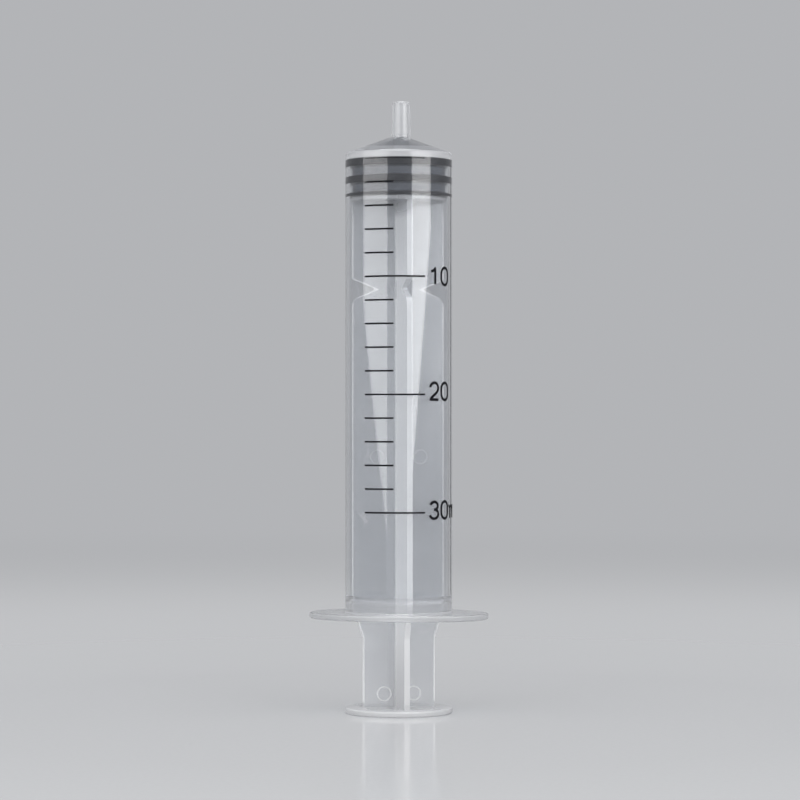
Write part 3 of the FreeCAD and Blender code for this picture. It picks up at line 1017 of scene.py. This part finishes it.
# %% Soft boxes
def soft_box(name, azimuth_deg, distance, middle_z, width, tall, watts, lean_deg):
    """A lamp that faces the syringe level, turned from the camera's direction, leaning sideways."""
    lamp = bpy.data.lights.new(name, "AREA")
    lamp.shape = "RECTANGLE"
    lamp.size = width
    lamp.size_y = tall
    lamp.energy = watts
    box = bpy.data.objects.new(name, lamp)
    turn = CAMERA_AZIMUTH + math.radians(azimuth_deg)
    box.location = (distance * math.sin(turn), -distance * math.cos(turn), middle_z)
    box.rotation_euler = (math.pi / 2, math.radians(lean_deg), turn)
    bpy.context.scene.collection.objects.link(box)
    print(name, "is", width, "x", tall, "m and gives", watts, "W")
    return box


TOP_BOX_TILT = math.radians(16)

left_box = soft_box("left_box", azimuth_deg=-53, distance=0.9, middle_z=0.24,
                    width=0.98, tall=0.35, watts=3.2, lean_deg=7.6)
right_box = soft_box("right_box", azimuth_deg=50, distance=0.9, middle_z=0.27,
                     width=0.72, tall=0.34, watts=3.5, lean_deg=-10.6)
top_box = soft_box("top_box", azimuth_deg=0, distance=0.35, middle_z=1.2,
                   width=1.2, tall=0.9, watts=13.0, lean_deg=0)
top_box.rotation_euler = (TOP_BOX_TILT, 0, CAMERA_AZIMUTH)

# %% [markdown]
# ## Flags
#
# A photographer keeps a lamp off the floor with a flag, a black board in the lamp's way. From
# behind, the two side boxes would light this pale floor until it clips to white. Boards would show
# in the plastic, but Blender can do the same with light linking: each lamp gets a collection of
# receivers, and a member marked EXCLUDE takes no light from it.

# %% Keep the side boxes off the floor
flagged = bpy.data.collections.new("kept from the side boxes")
flagged.objects.link(floor)
flagged.collection_objects[0].light_linking.link_state = "EXCLUDE"
for box in (left_box, right_box):
    box.light_linking.receiver_collection = flagged

# %% [markdown]
# ## Air
#
# A room gives an even, weak light from everywhere, so that nothing goes black. The world stands in
# for it. It has two colours: the one that falls on things is a little darker than the one that is
# seen, and the seen one is the colour that the floor fades into. One colour for both would be
# simpler, but then a paler background could only come from more light on the syringe.

# %% World
AIR_LIGHT = (0.374, 0.378, 0.387, 1)

world = bpy.data.worlds.new("studio air")
world.use_nodes = True
tree = world.node_tree
background = tree.nodes["Background"]
air_colour = colour_between(tree, looked_at(tree), AIR_LIGHT, BACKGROUND_COLOUR)
tree.links.new(air_colour, background.inputs["Color"])
background.inputs["Strength"].default_value = 1.0
bpy.context.scene.world = world
print("air lights with", AIR_LIGHT[:3], "and is seen as", BACKGROUND_COLOUR[:3])

# %% [markdown]
# ## Camera
#
# The camera stands where the photographer's did: 12 degrees round from the flange's broad side,
# about 65 cm away, and a little below the middle of the syringe. The curves of the printed lines
# and of the two discs give that away. A camera close by with a short lens would frame the same
# syringe but splay its sides. A long lens from here keeps them nearly parallel.

# %% Camera
CAMERA_DISTANCE = 0.6505
CAMERA_HEIGHT = 0.0667
AIM_HEIGHT = 0.07006
AIM_RIGHT = 0.0003
LENS_MM = 130.5
SENSOR_MM = 36
NEAREST_SEEN = 0.05

toward_camera = Vector((math.sin(CAMERA_AZIMUTH), -math.cos(CAMERA_AZIMUTH), 0))
to_the_right = Vector((math.cos(CAMERA_AZIMUTH), math.sin(CAMERA_AZIMUTH), 0))
camera_data = bpy.data.cameras.new("camera")
camera_data.lens = LENS_MM
camera_data.sensor_width = SENSOR_MM
camera_data.clip_start = NEAREST_SEEN
camera = bpy.data.objects.new("camera", camera_data)
aim = to_the_right * AIM_RIGHT + Vector((0, 0, AIM_HEIGHT))
camera.location = (toward_camera * CAMERA_DISTANCE + to_the_right * AIM_RIGHT
                   + Vector((0, 0, CAMERA_HEIGHT)))
camera.rotation_mode = "QUATERNION"
camera.rotation_quaternion = (aim - camera.location).to_track_quat("-Z", "Y")
bpy.context.scene.collection.objects.link(camera)
bpy.context.scene.camera = camera
bpy.context.scene.view_settings.view_transform = "Standard"
print("camera is", round((aim - camera.location).length, 3), "m from the syringe and sees",
      round(math.degrees(camera_data.angle), 1), "degrees")

# %% [markdown]
# ## Finish
#
# Last, the view layer is brought up to date, so that every piece stands where it was put.

# %% Finish
bpy.context.view_layer.update()
